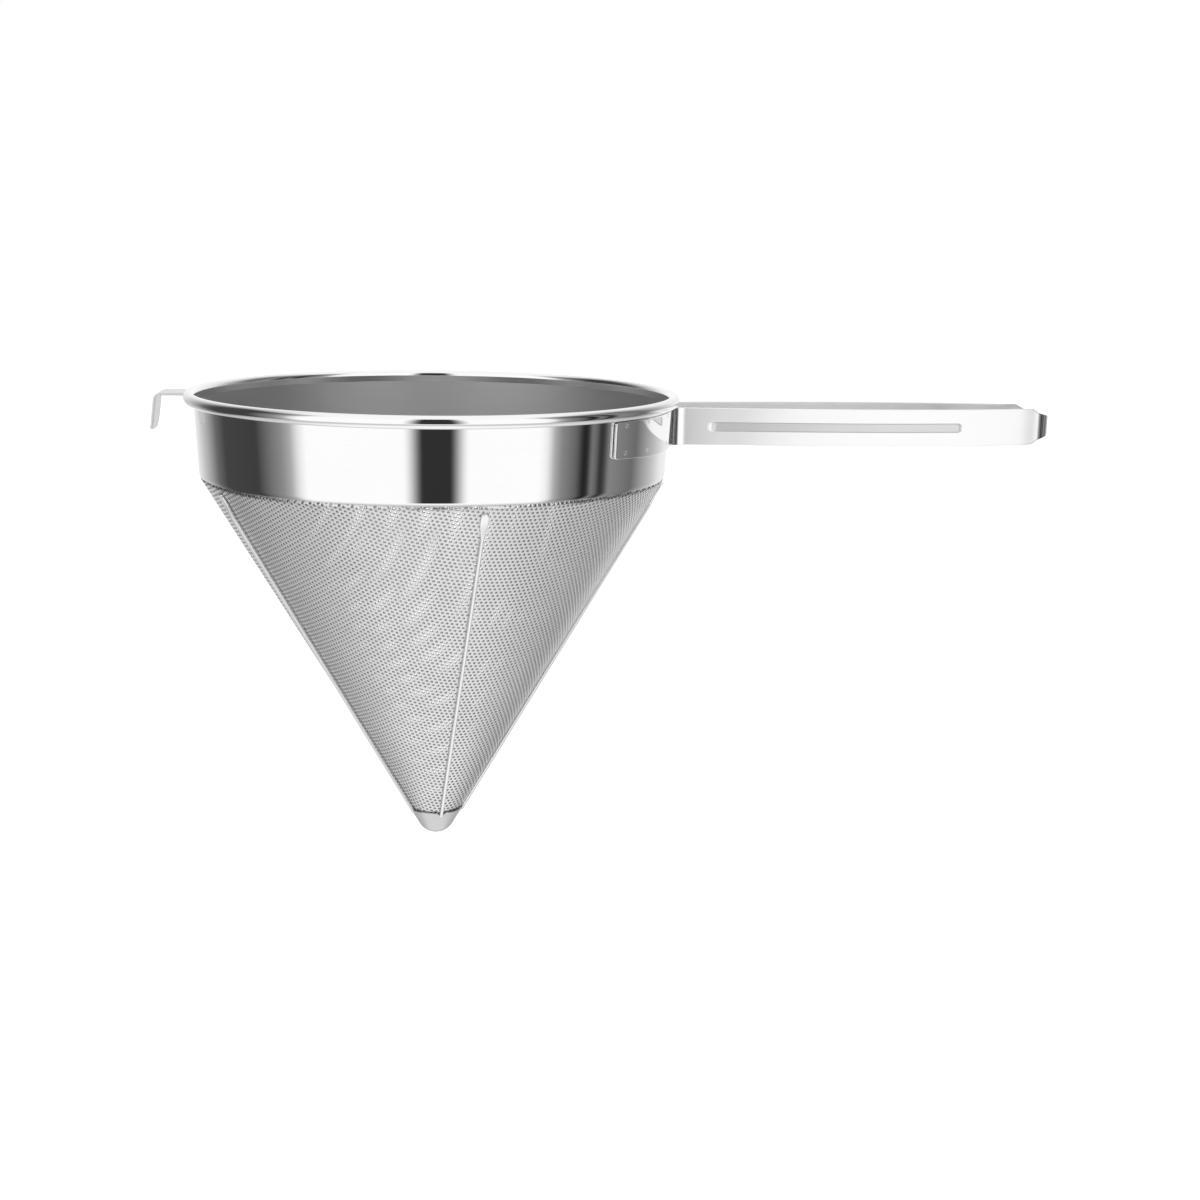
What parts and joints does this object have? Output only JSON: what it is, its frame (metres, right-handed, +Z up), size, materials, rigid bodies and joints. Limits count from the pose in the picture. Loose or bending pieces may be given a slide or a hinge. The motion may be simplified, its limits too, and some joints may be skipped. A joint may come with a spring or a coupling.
{
  "type": "conical strainer",
  "caption": "Polished steel conical strainer: rolled rim and band, perforated cone with wire ribs and a tip cap, flat hairpin handle and a bent pot hook",
  "frame": {"origin": "middle of the hook's flat underside, where it lies on the edge of a pot", "axes": "+X from the hook across the bowl and along the handle, +Z up towards the open mouth, so the cone points along -Z"},
  "size_m": [0.4718, 0.254, 0.2405],
  "materials": {
    "polished_steel": "mirror-polished stainless steel",
    "perforated_steel": "perforated stainless sheet, satin",
    "wire_steel": "bright drawn stainless wire",
    "satin_steel": "pressed stainless sheet, satin",
    "handle_steel": "buffed stainless strip"
  },
  "bodies": {
    "root": {"rim_band": "polished_steel", "perforated_cone": "perforated_steel", "rib_front": "wire_steel", "rib_right": "wire_steel", "rib_back_right": "wire_steel", "rib_back_left": "wire_steel", "rib_left": "wire_steel", "tip_cap": "satin_steel", "handle": "handle_steel", "pot_hook": "handle_steel"}
  },
  "joints": []
}
